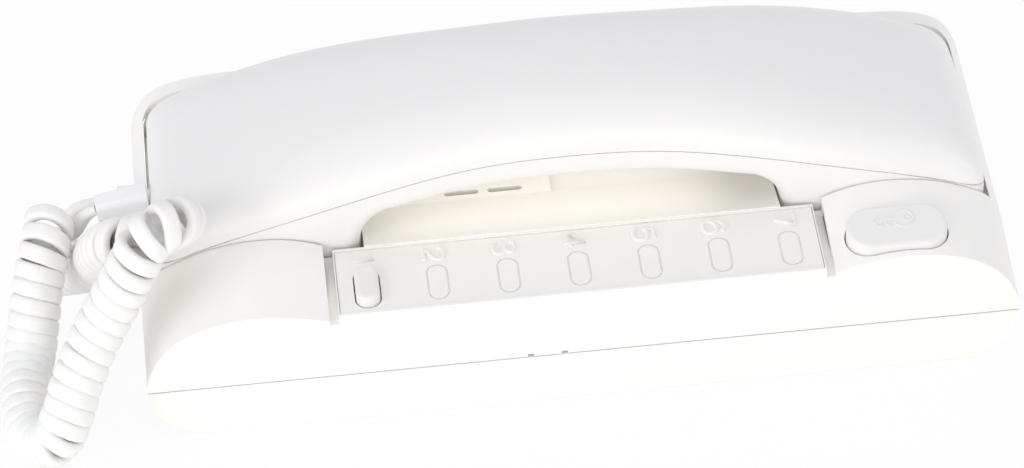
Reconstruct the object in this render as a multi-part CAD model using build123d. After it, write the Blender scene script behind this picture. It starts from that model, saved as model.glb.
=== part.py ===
from build123d import *
import os
from math import acos, ceil, cos, pi, sin, sqrt

# Wall door phone: a base that holds a loudspeaker, a door key and a strip of call keys,
# and a handset that lies across it, tied to it by a curly cord. All lengths are in millimetres.
# X runs along the base towards the door key, Y from the key side towards the handset side,
# and Z out of the wall. The origin is the middle of the back face.

# Base casing
base_length = 226.0
base_width = 93.0
base_wall = 2.2
seam_height = 15.0
seam_gap = 0.25
tongue_height = 1.7
tongue_wall = 1.2
fit_gap = 0.3
overrun = 5.0
back_corner_run = 15.0

# Key deck, in front of the handset, with a hill at each end
deck_depth = 24.5
deck_front_height = 35.2
deck_rear_height = 36.6
deck_skin = 3.2
hill_length = 48.1
groove_width = 2.4
groove_front_height = 32.3
groove_rear_height = 34.2
hill_front_foot = 17.0
hill_front_height = 36.9
hill_rear_foot = 22.0
hill_rear_height = 42.1
rim_foot = 29.0
rim_height = 44.9

# Each pair is a share of the hill's length from the base's end, and a share of its rise
hill_front_shares = ((0, 0), (0.055, 0.36), (0.15, 0.65), (0.3, 0.865), (0.48, 0.975), (0.6, 1.0),
                     (0.8, 0.955), (1.0, 0.83))
hill_rear_shares = ((0, 0), (0.035, 0.37), (0.1, 0.6), (0.18, 0.72), (0.3, 0.85), (0.46, 0.955),
                    (0.64, 1.0), (1.0, 0.815))
rim_shares = ((0, 0), (0.04, 0.36), (0.12, 0.69), (0.24, 0.87), (0.4, 0.96), (0.6, 0.995),
              (0.8, 1.0), (1.0, 1.0))

# Cradle under the handset
cradle_floor = 30.6
cradle_skin = 2.2
cradle_end_gap = 0.9
cradle_rear_wall = 4.5
bay_front_height = 36.9
bay_crease_height = 32.0
bay_crease_run = 21.0
bay_step = 1.2
pad_end = 3.5

# Loudspeaker and its slots
speaker_inset = 17.8
speaker_back = 5.35
speaker_radius = 20.0
speaker_rim = 2.6
speaker_depth = 9.0
magnet_radius = 11.0
magnet_height = 7.0
grille_radius = 17.0
grille_pitch = 5.4
grille_rows = 6
grille_slot = 1.7
grille_bridge = 2.4
collar_wall = 1.4
collar_height = 5.0

# Call strip
strip_gap = 0.15
strip_recess = 1.5
strip_thickness = 1.2
strip_lip = 0.7
place_count = 7
places_share = 0.8413
place_length = 12.9
place_width = 5.7
place_offset = 15.2
place_groove = 0.5
place_groove_depth = 0.4
call_key_length = 13.8
call_key_width = 6.2
call_key_rise = 2.3
call_travel = 1.5

# Door key
door_key_end = 31.1
door_key_inset = 8.7
door_key_length = 26.2
door_key_width = 13.2
door_key_rise = 1.8
door_key_edge = 1.1
door_travel = 2.0
key_gap = 0.35
key_flange = 1.1
key_ledge = 1.6
door_key_drop = 6.0
key_stem = 2.2
key_rim = 1.2

# Hook plunger
hook_end = 33.0
hook_back = 10.0
hook_radius = 4.3
hook_travel = 4.0
hook_flange = 1.8

# Springs
spring_wire = 0.6
spring_turns = 5
spring_clearance = 0.55

# Circuit board
board_key_margin = 7.4
board_end = 21.0
board_hook_margin = 5.5
board_edge_gap = 1.5
board_top = 16.6
board_thickness = 1.6
board_post_radius = 3.2
board_screw_inset = 5.0
board_screw_end = 22.0
switch_size = 6.0
switch_height = 1.5
hook_switch_length = 12.8
hook_switch_width = 6.0
hook_switch_height = 6.5
terminal_length = 36.0
terminal_width = 9.0
terminal_height = 9.5
terminal_ways = 7
terminal_end = 56.0
capacitor_radius = 4.0
capacitor_height = 9.5
chip_length = 9.6
chip_width = 6.4
chip_height = 3.4

# Fasteners and wall fixing
screw_radius = 1.45
screw_head_radius = 2.8
screw_head_height = 1.8
screw_slot = 0.8
boss_radius = 3.6
boss_end = 13.5
boss_side = 15.5
boss_seat = 4.0
casing_screw_length = 18.0
board_screw_length = 8.0
wall_hole_end = 29.0
wall_hole_radius = 2.3
wall_hole_y = 10.0
cable_hole_radius = 8.0
cable_hole_back = 8.15
latch_width = 1.6
latch_height = 0.9
latch_depth = 0.8
latch_centre = -9.8
latch_pitch = 8.8

# Handset
handset_end_gap = 4.7
handset_front_gap = 0.3
handset_rear_gap = 0.6
grip_waist = 5.5
parting_top = 55.5
parting_radius = 311.0
parting_gap = 0.12
crest_top = 68.0
crest_radius = 290.0
handset_wall = 2.3
cup_bottom = 31.0
cup_length = 53.5
cup_corner = 4.0
cup_round = 9.0
grip_depth = 8.0
grip_edge_round = 4.5
section_fullness_share = 0.74
straight_share = 0.8

# Stations along the handset's half length: the share of that length, the share of the grip's
# waist that is gone, the share of the full height left, and the share of the corner taken
handset_shares = ((0, 0, 1, 0), (0.23, 0.1, 1, 0), (0.46, 0.62, 1, 0), (0.65, 0.97, 1, 0), (0.8, 1, 1, 0),
                  (0.9, 1, 0.955, 0), (0.955, 1, 0.84, 0), (0.985, 1, 0.66, 0.3), (1, 1, 0.34, 1))

# Inside the handset
receiver_radius = 15.0
receiver_height = 7.0
receiver_end = 28.3
receiver_ring = 2.0
microphone_radius = 5.0
microphone_height = 5.0
microphone_boot_wall = 1.5
cup_hole_radius = 1.0
cup_hole_ring = 6.5
cup_hole_count = 8
handset_screw_inset = 18.8
handset_screw_length = 9.0

# Cord
cord_diameter = 3.7
coil_radius = 4.85
coil_gap = 0.9
coil_bend_share = 0.68
coil_end_way = (0, 0.64, 0.77)
coil_line_pieces = 60
coil_steps = 4
cord_boot_y = 4.4
cord_boot_z = 37.9
boot_length = 14.4
boot_root = 3.9
boot_tip = 3.1
boot_neck = 2.6
boot_flange = 4.0
boot_flange_thickness = 1.2
bush_y = 26.0
bush_z = 21.0
bush_radius = 3.6
bush_length = 5.0
cord_notch_gap = 0.8
boot_way = (-0.994, -0.066, -0.087)

# The curly cord's middle line, from the handset's boot round to the base, as chosen points:
# how far each is from the casing's left end, along X, then its Y and its Z
coil_route = ((-21.3, 0.6, 41.4), (-22.9, -2.8, 37.3), (-24.9, -7.7, 31.3), (-26.8, -13.0, 24.8),
              (-28.5, -18.4, 18.3), (-30.1, -23.0, 12.7), (-31.2, -29.1, 10.0), (-31.7, -36.5, 9.7),
              (-31.6, -45.3, 7.8), (-29.9, -56.3, 9.7), (-22.7, -66.2, 17.1), (-19.8, -61.8, 22.6),
              (-17.7, -53.4, 25.7), (-14.3, -48.1, 30.8), (-9.7, -44.1, 37.5), (-4.5, -41.8, 45.3),
              (-0.2, -40.9, 52.9), (4.2, -38.7, 60.8), (10.4, -35.7, 61.8), (13.3, -29.9, 58.4),
              (11.1, -25.4, 53.1), (5.0, -25.4, 49.6), (0.2, -24.8, 48.7), (-4.1, -22.6, 46.3),
              (-7.6, -16.2, 39.7), (-10.3, -6.7, 29.0), (-13.2, 3.0, 18.5), (-17.5, 10.2, 11.2),
              (-23.1, 14.3, 7.7))

half_length = base_length / 2
half_width = base_width / 2
deck_line = deck_depth - half_width
deck_half_length = half_length - hill_length
place_pitch = 2 * deck_half_length * places_share / (place_count - 1)
handset_half_length = half_length - handset_end_gap
cup_inner = handset_half_length - cup_length
receiver_x = handset_half_length - receiver_end
handset_screw_x = cup_inner - handset_screw_inset
cradle_end = handset_half_length + cradle_end_gap
cradle_rear = half_width - cradle_rear_wall
cup_pocket_inner = cup_inner - 2 * fit_gap
handset_front = deck_line + handset_front_gap
handset_rear = cradle_rear - handset_rear_gap
handset_middle = (handset_front + handset_rear) / 2
cap_half_width = (handset_rear - handset_front) / 2
cradle_under = cradle_floor - cradle_skin
board_bottom = board_top - board_thickness
board_y_low = base_wall + board_edge_gap - half_width
door_key_y = door_key_inset - half_width
place_y = deck_line - place_offset
door_key_x = half_length - door_key_end
hook_x = half_length - hook_end
hook_y = deck_line + hook_back
speaker_x = -pad_end - speaker_inset
speaker_y = handset_middle + speaker_back
board_x_low = -place_pitch * (place_count - 1) / 2 - board_key_margin
board_x_high = half_length - board_end
board_y_high = hook_y + board_hook_margin
terminal_x = board_x_high - terminal_end
boss_x = half_length - boss_end
boss_y = half_width - boss_side
wall_hole_spacing = base_length - 2 * wall_hole_end
cable_hole_x = terminal_x
cable_hole_y = handset_middle + cable_hole_back
above_all = max(rim_height, hill_rear_height) + overrun
groove_slope = (groove_rear_height - groove_front_height) / deck_depth
deck_slope = (deck_rear_height - deck_front_height) / deck_depth
hill_slope = (hill_rear_height - hill_front_height) / deck_depth


# Plain shapes

def line(a, b):
    return Edge.make_line(Vector(*a), Vector(*b))


def block(x_span, y_span, z_span):
    size = [high - low for low, high in (x_span, y_span, z_span)]
    middle = [(high + low) / 2 for low, high in (x_span, y_span, z_span)]
    return Pos(*middle) * Box(*size)


def post(x, y, z_span, radius):
    low, high = z_span
    return Pos(x, y, (low + high) / 2) * Cylinder(radius, high - low)


def sleeve(x, y, z_span, outer, inner):
    return post(x, y, z_span, outer) - post(x, y, (z_span[0] - overrun, z_span[1] + overrun), inner)


def polygon(points):
    corners = [Vector(*p) for p in points]
    return Face(Wire([Edge.make_line(a, b) for a, b in zip(corners, corners[1:] + corners[:1])]))


def side_prism(points, x_span):
    profile = polygon([(x_span[0], y, z) for y, z in points])
    return extrude(profile, x_span[1] - x_span[0], dir=(1, 0, 0))


def stadium(x, y, z_span, length, width, turned=0):
    outline = SlotOverall(length, width, rotation=turned)
    return Pos(x, y, z_span[0]) * extrude(outline, z_span[1] - z_span[0])


def deck_height(y):
    return deck_front_height + deck_slope * (y + half_width)


def groove_height(y):
    return groove_front_height + groove_slope * (y + half_width)


def hill_height(y):
    return hill_front_height + hill_slope * (y + half_width)


# Fasteners

def screw(x, y, seat, length, up=1):
    # The head lies beyond the seat, the shank runs from the seat towards up
    head = post(x, y, sorted((seat, seat - up * screw_head_height)), screw_head_radius)
    shank = post(x, y, sorted((seat, seat + up * length)), screw_radius)
    slot_floor = seat - up * screw_head_height / 2
    slot_z = sorted((slot_floor, slot_floor - up * screw_head_height))
    slot_x = (x - screw_head_radius - overrun, x + screw_head_radius + overrun)
    return head + shank - block(slot_x, (y - screw_slot / 2, y + screw_slot / 2), slot_z)


# Base casing

def hill_points(y, foot, top, shares, inset):
    run = hill_length - inset
    return [(half_length - inset - run * out, y, foot + (top - foot) * rise - inset)
            for out, rise in shares]


def casing_section(y, foot, top, shares, deck, groove, inset, bottom):
    right = hill_points(y, foot, top, shares, inset)
    left = [(-x, y, z) for x, y, z in reversed(right)]
    across = [right[-1]]
    if groove:
        inner = deck_half_length - groove_width
        across += [(deck_half_length, y, groove), (inner, y, groove), (inner, y, deck),
                   (-inner, y, deck), (-inner, y, groove), (-deck_half_length, y, groove)]
    across.append(left[0])
    edges = [line((left[-1][0], y, bottom), (right[0][0], y, bottom)),
             line((right[0][0], y, bottom), right[0])]
    edges.append(Edge.make_spline([Vector(*p) for p in right]))
    edges += [line(a, b) for a, b in zip(across, across[1:])]
    edges.append(Edge.make_spline([Vector(*p) for p in left]))
    edges.append(line(left[-1], (left[-1][0], y, bottom)))
    return Wire(edges)


def key_deck(inset, front, rear, bottom):
    drop = deck_skin if inset else 0
    sections = [
        casing_section(front, hill_front_foot, hill_front_height, hill_front_shares,
                       deck_height(front) - drop, groove_height(front) - drop, inset, bottom),
        casing_section(rear, hill_rear_foot, hill_rear_height, hill_rear_shares,
                       deck_height(rear) - drop, groove_height(rear) - drop, inset, bottom)]
    return Solid.make_loft(sections, True)


def cradle_block(inset, front, rear, bottom):
    sections = [
        casing_section(front, hill_rear_foot, hill_rear_height, hill_rear_shares,
                       deck_rear_height, 0, inset, bottom),
        casing_section(rear, rim_foot, rim_height, rim_shares, rim_height, 0, inset, bottom)]
    return Solid.make_loft(sections, True)


def cradle_cuts():
    top = rim_height + overrun
    end = (cup_pocket_inner, cradle_end)
    y_span = (deck_line, cradle_rear)
    pocket = block(end, y_span, (cradle_floor, top))
    pocket = fillet(pocket.edges().filter_by(Axis.Z).sort_by(Axis.X)[-1:], cup_corner)
    bay_line = deck_line + bay_crease_run
    bay = side_prism([(deck_line, top), (deck_line, bay_front_height), (bay_line, bay_crease_height),
                      (bay_line, bay_crease_height - bay_step),
                      (cradle_rear, bay_crease_height - bay_step), (cradle_rear, top)],
                     (-cup_pocket_inner - fit_gap, cup_pocket_inner + fit_gap))
    pad = block((-cup_pocket_inner, -pad_end), (bay_line - fit_gap, cradle_rear),
                (cradle_floor, bay_crease_height))
    return pocket + mirror(pocket, Plane.YZ) + (bay - pad)


def grille_cuts():
    cuts = []
    for row in range(grille_rows):
        y = speaker_y + (row - (grille_rows - 1) / 2) * grille_pitch
        reach = sqrt(grille_radius ** 2 - (y - speaker_y) ** 2)
        length = reach - grille_bridge / 2
        for side in (-1, 1):
            x = speaker_x + side * (reach + grille_bridge / 2) / 2
            cuts.append(stadium(x, y, (cradle_under - overrun, bay_crease_height + overrun),
                                length, grille_slot))
    return cuts


def strip_prism(y_span, x_half, low, high):
    points = [(y, deck_height(y) + rise) for y, rise in
              ((y_span[0], low), (y_span[1], low), (y_span[1], high), (y_span[0], high))]
    return side_prism(points, (-x_half, x_half))


def call_key_place():
    return -place_pitch * (place_count - 1) / 2


def make_front_housing():
    outer = key_deck(0, -half_width, deck_line, seam_height + seam_gap)
    outer = outer + cradle_block(0, deck_line, half_width, seam_height + seam_gap)
    front_hollow = key_deck(base_wall, base_wall - half_width, deck_line - base_wall, 0)
    rear_hollow = cradle_block(base_wall, deck_line - base_wall, half_width - base_wall, 0)
    rear_hollow = rear_hollow & block((-half_length, half_length), (-half_width, half_width),
                                      (0, cradle_under))
    bosses = [post(x, y, (seam_height + seam_gap, rim_height), boss_radius)
              for x in (-boss_x, boss_x) for y in (-boss_y, boss_y)]
    collar = sleeve(speaker_x, speaker_y, (cradle_under - collar_height, cradle_under + seam_gap),
                    speaker_radius + fit_gap + collar_wall, speaker_radius + fit_gap)
    body = outer - front_hollow - rear_hollow
    body = body + ((bosses[0] + bosses[1] + bosses[2] + bosses[3]) & outer) + collar
    body = body - cradle_cuts() - grille_cuts()
    inner = deck_half_length - groove_width - fit_gap
    body = body - strip_prism((strip_lip - half_width, deck_line - strip_lip), inner,
                              -strip_recess, overrun)
    wide, long = call_key_width + 2 * key_gap, call_key_length + 2 * key_gap
    body = body - stadium(call_key_place(), place_y, (call_key_under() - call_travel, above_all),
                          long, wide, 90)
    wide, long = door_key_width + 2 * key_gap, door_key_length + 2 * key_gap
    body = body - stadium(door_key_x, door_key_y, (cradle_under, above_all), long, wide)
    body = body - post(hook_x, hook_y, (cradle_under - overrun, cradle_floor + overrun),
                       hook_radius + fit_gap)
    for x in (-boss_x, boss_x):
        for y in (-boss_y, boss_y):
            body = body - post(x, y, (0, boss_seat + casing_screw_length + fit_gap),
                               screw_radius + seam_gap / 4)
    body = body - (Pos(-half_length, bush_y, bush_z) * Rot(0, 90, 0)
                   * Cylinder(bush_radius - base_wall / 2, 4 * base_wall))
    notch = boot_root + cord_notch_gap
    body = body - block((-half_length - overrun, -cradle_end + overrun),
                        (cord_boot_y - notch, cord_boot_y + notch),
                        (cord_boot_z - notch, above_all))
    for side in (-1, 1):
        x = latch_centre + side * latch_pitch / 2
        body = body - block((x - latch_width / 2, x + latch_width / 2),
                            (-half_width - overrun, latch_depth - half_width),
                            (seam_height, seam_height + seam_gap + latch_height))
    return body


def tray(inset, top):
    # The lower corners are quarter ellipses, from the end walls round to the flat back
    reach = half_length - inset
    run = back_corner_run - inset
    rise = seam_height - inset
    quarter = [(run * (1 - cos(pi / 2 * k / 4)), rise * (1 - sin(pi / 2 * k / 4))) for k in range(5)]
    y = inset - half_width
    right = [Vector(reach - out, y, inset + up) for out, up in quarter]
    left = [Vector(-p.X, y, p.Z) for p in reversed(right)]
    edges = [Edge.make_spline(right, tangents=[Vector(0, 0, -1), Vector(-1, 0, 0)]),
             Edge.make_line(right[-1], left[0]),
             Edge.make_spline(left, tangents=[Vector(-1, 0, 0), Vector(0, 0, 1)]),
             Edge.make_line(left[-1], Vector(-reach, y, top)),
             Edge.make_line(Vector(-reach, y, top), Vector(reach, y, top)),
             Edge.make_line(Vector(reach, y, top), right[0])]
    return extrude(Face(Wire(edges)), base_width - 2 * inset, dir=(0, 1, 0))


def board_screw_places():
    x_places = (board_x_low + board_screw_end, board_x_high - board_screw_end)
    y_places = (board_y_low + board_screw_inset, board_y_high - board_screw_inset)
    return [(x, y) for x in x_places for y in y_places]


def casing_screw_places():
    return [(x, y) for x in (-boss_x, boss_x) for y in (-boss_y, boss_y)]


def make_back_cover():
    top = seam_height - seam_gap / 2
    everything = block((-base_length, base_length), (-base_width, base_width), (0, top))
    cover = (tray(0, seam_height + overrun) - tray(base_wall, seam_height + 2 * overrun)) & everything
    tongue_top = seam_height + tongue_height
    inset = base_wall + fit_gap
    tongue = tray(inset, tongue_top) - tray(inset + tongue_wall, tongue_top + overrun)
    root = tray(base_wall / 2, tongue_top) - tray(inset + tongue_wall, tongue_top + overrun)
    root = root & block((-half_length, half_length), (-half_width, half_width),
                        (top - tongue_height, top))
    reach = half_length - inset - 2 * seam_gap
    tongue = tongue & block((-reach, reach), (-half_width, half_width), (top - tongue_height, tongue_top))
    cover = cover + root + tongue
    for x, y in casing_screw_places():
        cover = cover + (post(x, y, (0, top), boss_radius) & tray(0, top))
    for x, y in board_screw_places():
        cover = cover + post(x, y, (base_wall / 2, board_bottom), board_post_radius)
    for x, y in casing_screw_places():
        cover = cover - post(x, y, (-overrun, boss_seat), screw_head_radius + fit_gap)
        cover = cover - post(x, y, (0, seam_height + overrun), screw_radius + fit_gap)
    for x, y in board_screw_places():
        cover = cover - post(x, y, (board_top - board_screw_length - fit_gap, board_top),
                             screw_radius + seam_gap / 4)
    for side in (-1, 1):
        x = side * wall_hole_spacing / 2
        cover = cover + post(x, wall_hole_y, (0, 2 * base_wall), 2 * wall_hole_radius)
        cover = cover - post(x, wall_hole_y, (-overrun, overrun), wall_hole_radius)
    cover = cover - post(cable_hole_x, cable_hole_y, (-overrun, overrun), cable_hole_radius)
    return cover


# Keys and what they press

def make_call_strip():
    low, high = strip_lip - half_width + strip_gap, deck_line - strip_lip - strip_gap
    inner = deck_half_length - groove_width - fit_gap - strip_gap
    strip = strip_prism((low, high), inner, -strip_recess, strip_thickness - strip_recess)
    surface = strip_thickness - strip_recess
    plane = Plane((0, place_y, deck_height(place_y) + surface), x_dir=(1, 0, 0),
                  z_dir=(0, -deck_slope, 1))
    wide, long = call_key_width + 2 * key_gap, call_key_length + 2 * key_gap
    strip = strip - stadium(call_key_place(), place_y, (call_key_under(), above_all), long, wide, 90)
    ring = (SlotOverall(place_length, place_width, rotation=90)
            - SlotOverall(place_length - 2 * place_groove, place_width - 2 * place_groove, rotation=90))
    for place in range(1, place_count):
        x = call_key_place() + place * place_pitch
        strip = strip - plane.location * Pos(x, 0, -place_groove_depth) * extrude(ring, overrun)
    return strip


def make_call_key():
    x, y = call_key_place(), place_y
    low, high = deck_height(y), deck_height(y) + call_key_rise
    skin_under = call_key_under() + key_flange
    cap = stadium(x, y, (skin_under, high), call_key_length, call_key_width, 90)
    cap = fillet(cap.faces().sort_by(Axis.Z)[-1].edges(), key_rim)
    flange = block((x - call_key_width / 2 - key_ledge, x + call_key_width / 2 + key_ledge),
                   (y - call_key_length / 4, y + call_key_length / 4), (skin_under - key_flange, skin_under))
    stem_end = board_top + switch_height + call_travel + fit_gap
    return cap + flange + post(x, y, (stem_end, skin_under), key_stem)


def call_key_under():
    ends = (place_y - call_key_length / 2, place_y + call_key_length / 2)
    return min(deck_height(y) for y in ends) - deck_skin - fit_gap - key_flange


def door_key_under():
    # The ledges wait under the casing's skin, where the hill falls away to each side of the key
    return hill_height(door_key_y) - door_key_drop - key_flange


def make_door_key():
    x, y = door_key_x, door_key_y
    skin_under = door_key_under() + key_flange
    cap = stadium(x, y, (skin_under, above_all), door_key_length, door_key_width)
    near, far = y - door_key_width, y + door_key_width
    above = side_prism([(near, hill_height(near) + door_key_rise), (far, hill_height(far) + door_key_rise),
                        (far, above_all + overrun), (near, above_all + overrun)],
                       (x - door_key_length, x + door_key_length))
    cap = cap - above
    cap = fillet(cap.faces().sort_by(Axis.Z)[-1].edges(), door_key_edge)
    flange = block((x - door_key_length / 2 - key_ledge, x + door_key_length / 2 + key_ledge),
                   (y - door_key_width / 4, y + door_key_width / 4), (door_key_under(), skin_under))
    stem_end = board_top + switch_height + door_travel + fit_gap
    return cap + flange + post(x, y, (stem_end, skin_under), key_stem)


def make_switch(x, y):
    body = block((x - switch_size / 2, x + switch_size / 2), (y - switch_size / 2, y + switch_size / 2),
                 (board_top, board_top + switch_height * 2 / 3))
    return body + post(x, y, (board_top, board_top + switch_height), key_stem)


def biarc(start, start_way, end, end_way):
    # Two arcs that meet with one direction, from start along start_way to end along end_way
    span = end - start
    ways = start_way + end_way
    square = 2 * (1 - start_way.dot(end_way))
    along = span.dot(ways)
    reach = span.dot(span) / (2 * along)
    if square > 1e-9:
        reach = (sqrt(along * along + square * span.dot(span)) - along) / square
    first, second = start + start_way * reach, end - end_way * reach
    meeting = (first + second) * 0.5
    way = (second - first).normalized()
    return [Edge.make_tangent_arc(start, start_way, meeting), Edge.make_tangent_arc(meeting, way, end)]


def sweep_round(edges, diameter):
    path = Wire(edges)
    plane = Plane(path.position_at(0), z_dir=path.tangent_at(0))
    return sweep(Plane(plane.origin, z_dir=plane.z_dir) * Circle(diameter / 2), path=path)


def make_spring(x, y, low, high, inner_radius):
    # A compression spring that stands on its end coils between two faces
    radius = inner_radius + spring_wire / 2
    bottom, top = low + spring_wire / 2, high - spring_wire / 2
    steps = 4 * spring_turns
    climb = (top - bottom) / steps

    def at(k):
        turn = pi / 2 * k
        return Vector(x + radius * cos(turn), y + radius * sin(turn), bottom + climb * k)

    def way(k):
        turn = pi / 2 * k
        return Vector(-radius * sin(turn) * pi / 2, radius * cos(turn) * pi / 2, climb).normalized()

    edges = []
    for k in range(steps):
        edges += biarc(at(k), way(k), at(k + 1), way(k + 1))
    return sweep_round(edges, spring_wire)


def make_hook_plunger():
    top = cup_bottom - fit_gap
    flange_top = cradle_under - hook_travel - fit_gap
    plunger = post(hook_x, hook_y, (flange_top - hook_flange, top), hook_radius)
    plunger = fillet(plunger.edges().filter_by(GeomType.CIRCLE).sort_by(Axis.Z)[-1:], key_rim)
    flange = post(hook_x, hook_y, (flange_top - hook_flange, flange_top), hook_radius + hook_flange)
    return plunger + flange


def hook_flange_bottom():
    return cradle_under - hook_travel - fit_gap - hook_flange


# Circuit board and what stands on it

def make_circuit_board():
    board = block((board_x_low, board_x_high), (board_y_low, board_y_high), (board_bottom, board_top))
    for x, y in board_screw_places():
        board = board - post(x, y, (board_bottom - overrun, board_top + overrun), screw_radius + fit_gap)
    return board


def make_terminal_block():
    y_high = board_y_high - fit_gap
    y_low = y_high - terminal_width
    body = block((terminal_x - terminal_length / 2, terminal_x + terminal_length / 2), (y_low, y_high),
                 (board_top, board_top + terminal_height))
    step = terminal_length / terminal_ways
    for way in range(terminal_ways):
        x = terminal_x + (way - (terminal_ways - 1) / 2) * step
        middle = (y_low + y_high) / 2
        body = body - post(x, middle, (board_top + terminal_height / 2, board_top + 2 * terminal_height),
                           step / 3)
        body = body - block((x - step / 4, x + step / 4), (middle, y_high + overrun),
                            (board_top + base_wall / 2, board_top + terminal_height / 3))
    return body


def make_terminal_screws():
    step = terminal_length / terminal_ways
    y = board_y_high - fit_gap - terminal_width / 2
    seat = board_top + terminal_height / 2
    screws = []
    for way in range(terminal_ways):
        x = terminal_x + (way - (terminal_ways - 1) / 2) * step
        head = post(x, y, (seat, board_top + terminal_height - fit_gap), step / 3 - fit_gap / 2)
        slot_z = (board_top + terminal_height - 3 * fit_gap, board_top + terminal_height + overrun)
        screws.append(head - block((x - step, x + step), (y - screw_slot / 2, y + screw_slot / 2), slot_z))
    return Compound(children=screws)


def make_hook_switch():
    x_low = hook_x - hook_switch_length / 2
    y_high = hook_y - hook_radius - hook_flange - 2 * fit_gap
    return block((x_low, x_low + hook_switch_length), (y_high - hook_switch_width, y_high),
                 (board_top, board_top + hook_switch_height))


def make_capacitors():
    middle = (board_y_low + board_y_high) / 2
    places = [(terminal_x + side * terminal_length / 4, middle) for side in (-1, 1)]
    return Compound(children=[post(x, y, (board_top, board_top + capacitor_height), capacitor_radius)
                              for x, y in places])


def make_tone_chip():
    x, y = (board_x_low + board_x_high) / 2, place_y
    return block((x - chip_length / 2, x + chip_length / 2), (y - chip_width / 2, y + chip_width / 2),
                 (board_top, board_top + chip_height))


# Loudspeaker

def make_speaker_frame():
    top = cradle_under - fit_gap / 2
    rim = sleeve(speaker_x, speaker_y, (top - speaker_rim, top), speaker_radius,
                 speaker_radius - speaker_rim)
    basket = Pos(speaker_x, speaker_y, 0) * revolve(Plane.XZ * make_face(Polyline(
        (speaker_radius, top - speaker_rim), (speaker_radius, top - speaker_rim - base_wall / 2),
        (magnet_radius, top - speaker_depth - base_wall / 2), (magnet_radius - speaker_rim,
                                                               top - speaker_depth - base_wall / 2),
        (magnet_radius - speaker_rim, top - speaker_depth), (magnet_radius, top - speaker_depth),
        (speaker_radius - speaker_rim, top - speaker_rim), (speaker_radius, top - speaker_rim))), Axis.Z)
    return rim + basket


def make_speaker_cone():
    top = cradle_under - fit_gap / 2 - fit_gap
    wall = tongue_wall / 2
    edge = speaker_radius - speaker_rim - fit_gap
    throat = magnet_radius - speaker_rim - fit_gap
    low = top - speaker_depth + 2 * fit_gap + wall
    gap = wall + fit_gap
    profile = make_face(Polyline((edge, top), (edge - gap, top), (throat - gap, low + gap), (0, low + gap),
                                 (0, low + gap - wall), (throat - wall - fit_gap, low + gap - wall),
                                 (edge, top - wall), (edge, top)))
    return Pos(speaker_x, speaker_y, 0) * revolve(Plane.XZ * profile, Axis.Z)


def make_speaker_magnet():
    top = cradle_under - fit_gap / 2 - speaker_depth - base_wall / 2
    return post(speaker_x, speaker_y, (top - magnet_height, top), magnet_radius)


# Handset

def arc_height(top, radius, x):
    return top - radius + sqrt(radius * radius - x * x)


def handset_stations(inset):
    reach = handset_half_length - inset
    stations = []
    for along, waist_gone, height_left, corner in handset_shares:
        wide = cap_half_width - grip_waist * (1 - waist_gone) - cup_corner * corner - inset
        x = along * reach
        tall = arc_height(crest_top, crest_radius, x) - arc_height(parting_top, parting_radius, x)
        stations.append((x, wide, tall * height_left - inset * height_left))
    return [(-x, wide, tall) for x, wide, tall in reversed(stations[1:])] + stations


def dome_section(x, wide, tall, skirt):
    # Full shoulders that rise straight from the parting line, and a flat crown
    base = arc_height(parting_top, parting_radius, x)
    full = section_fullness_share

    def at(side, across, up):
        return Vector(x, handset_middle + side * across * wide, base + up * tall)

    rear = Edge.make_bezier(at(1, 1, 0), at(1, 1, full), at(1, full, 1), at(1, 0, 1))
    front = Edge.make_bezier(at(-1, 0, 1), at(-1, full, 1), at(-1, 1, full), at(-1, 1, 0))
    left = Vector(x, handset_middle - wide, base - skirt)
    right = Vector(x, handset_middle + wide, base - skirt)
    return Wire([Edge.make_line(left, right), Edge.make_line(right, at(1, 1, 0)), rear, front,
                 Edge.make_line(at(-1, 1, 0), left)])


def dome(inset):
    return Solid.make_loft([dome_section(x, wide, tall, overrun)
                            for x, wide, tall in handset_stations(inset)], False)


def beyond_parting(shift, side):
    # Everything above the parting surface for side 1, or below it for side -1
    reach = handset_half_length + overrun
    edge_height = arc_height(parting_top, parting_radius, reach) + shift
    far = parting_top + shift + side * parting_radius
    y = handset_front - overrun
    left, right = Vector(-reach, y, edge_height), Vector(reach, y, edge_height)
    far_left, far_right = Vector(-reach, y, far), Vector(reach, y, far)
    face = Face(Wire([Edge.make_three_point_arc(left, Vector(0, y, parting_top + shift), right),
                      Edge.make_line(right, far_right), Edge.make_line(far_right, far_left),
                      Edge.make_line(far_left, left)]))
    return extrude(face, handset_rear - handset_front + 2 * overrun, dir=(0, 1, 0))


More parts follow.
